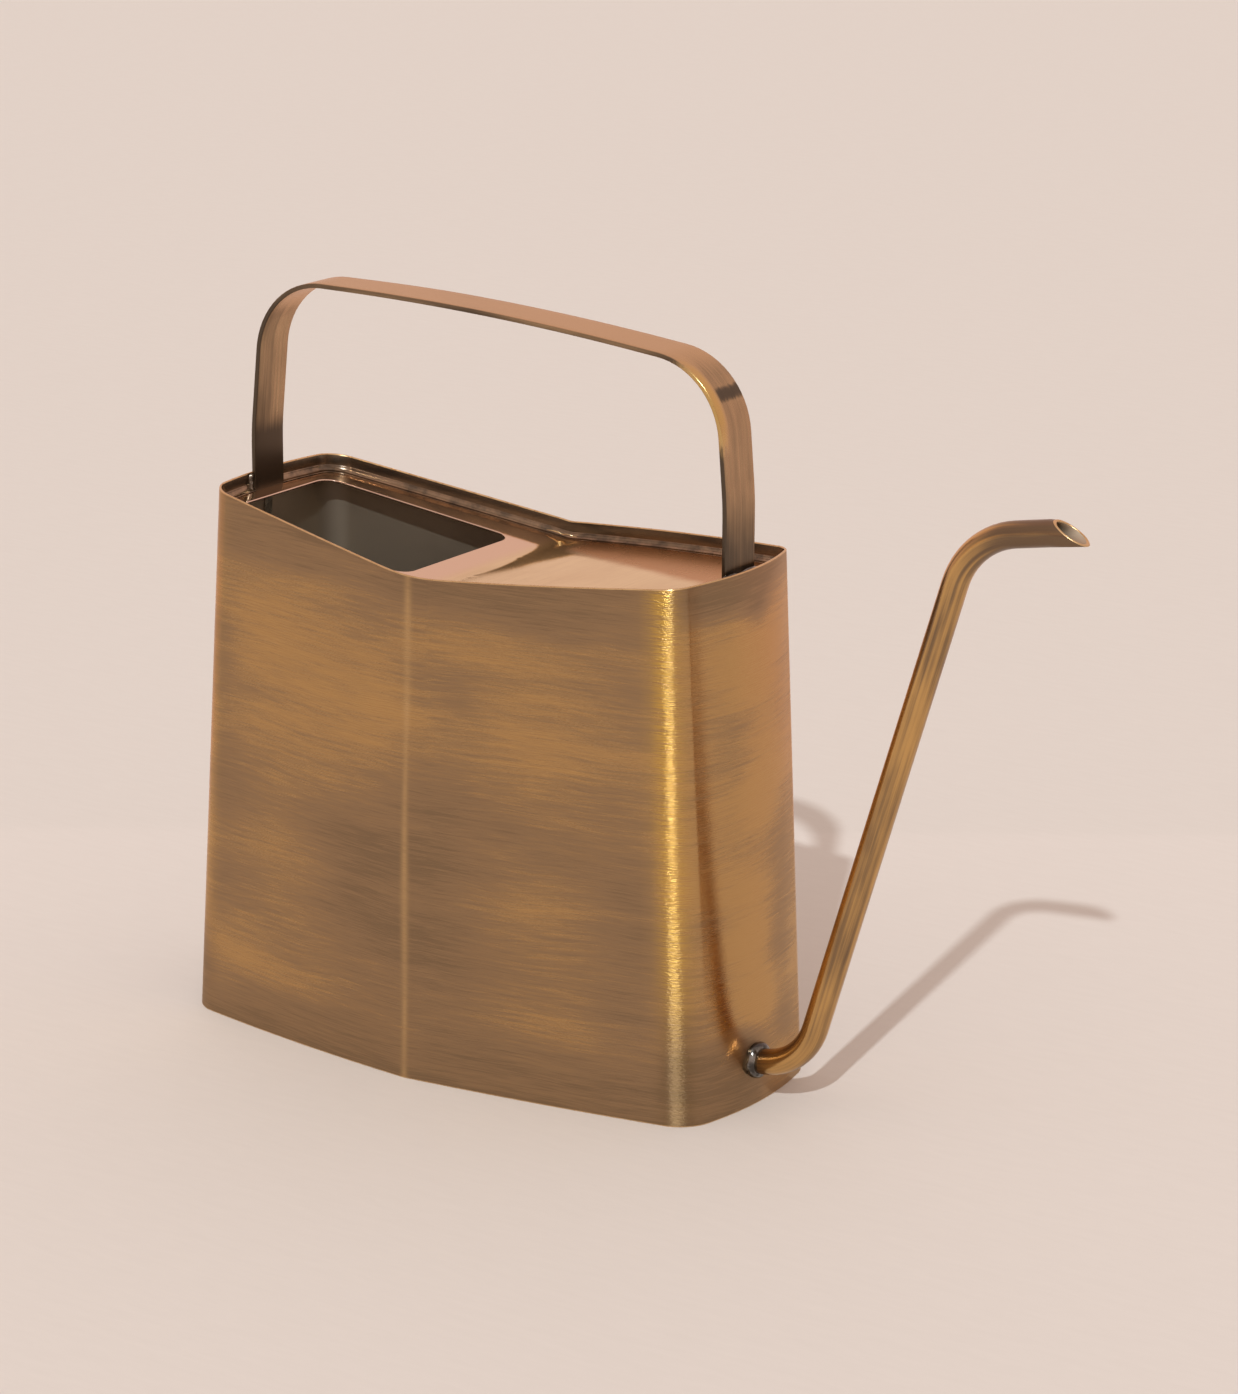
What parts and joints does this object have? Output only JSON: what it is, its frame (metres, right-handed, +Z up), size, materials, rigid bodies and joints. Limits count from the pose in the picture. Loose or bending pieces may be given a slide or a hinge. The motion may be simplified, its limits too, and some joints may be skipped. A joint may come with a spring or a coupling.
{
  "type": "watering can",
  "caption": "Flat-sided watering can with a creased tapered sheet body, recessed deck with a fill opening, strap handle and a long thin bent spout.",
  "frame": {"origin": "on the floor, in the plane of the base's flat underside, midway between the feet of the front and back creases", "axes": "+X towards the spout, +Y across the can towards the back panel, +Z up"},
  "size_m": [0.3324, 0.1034, 0.2564],
  "materials": {
    "body_brass": "antiqued, brushed along its length",
    "deck_brass": "smooth, lightly polished",
    "strap_brass": "antiqued, brushed along the strap",
    "spout_brass": "antiqued, polished along the tube",
    "deck_seam": "darkened solder, smoothed",
    "solder": "bare silver solder, glossy"
  },
  "bodies": {
    "root": {"front_shell": "body_brass", "back_shell": "body_brass", "base_plate": "body_brass", "deck_plate": "deck_brass", "handle_strap": "strap_brass", "spout_tube": "spout_brass", "spout_solder_ring": "solder", "deck_solder_seam": "deck_seam", "base_solder_seam": "solder", "left_end_seam": "solder", "right_end_seam": "solder", "left_handle_solder": "solder", "right_handle_solder": "solder"}
  },
  "joints": []
}
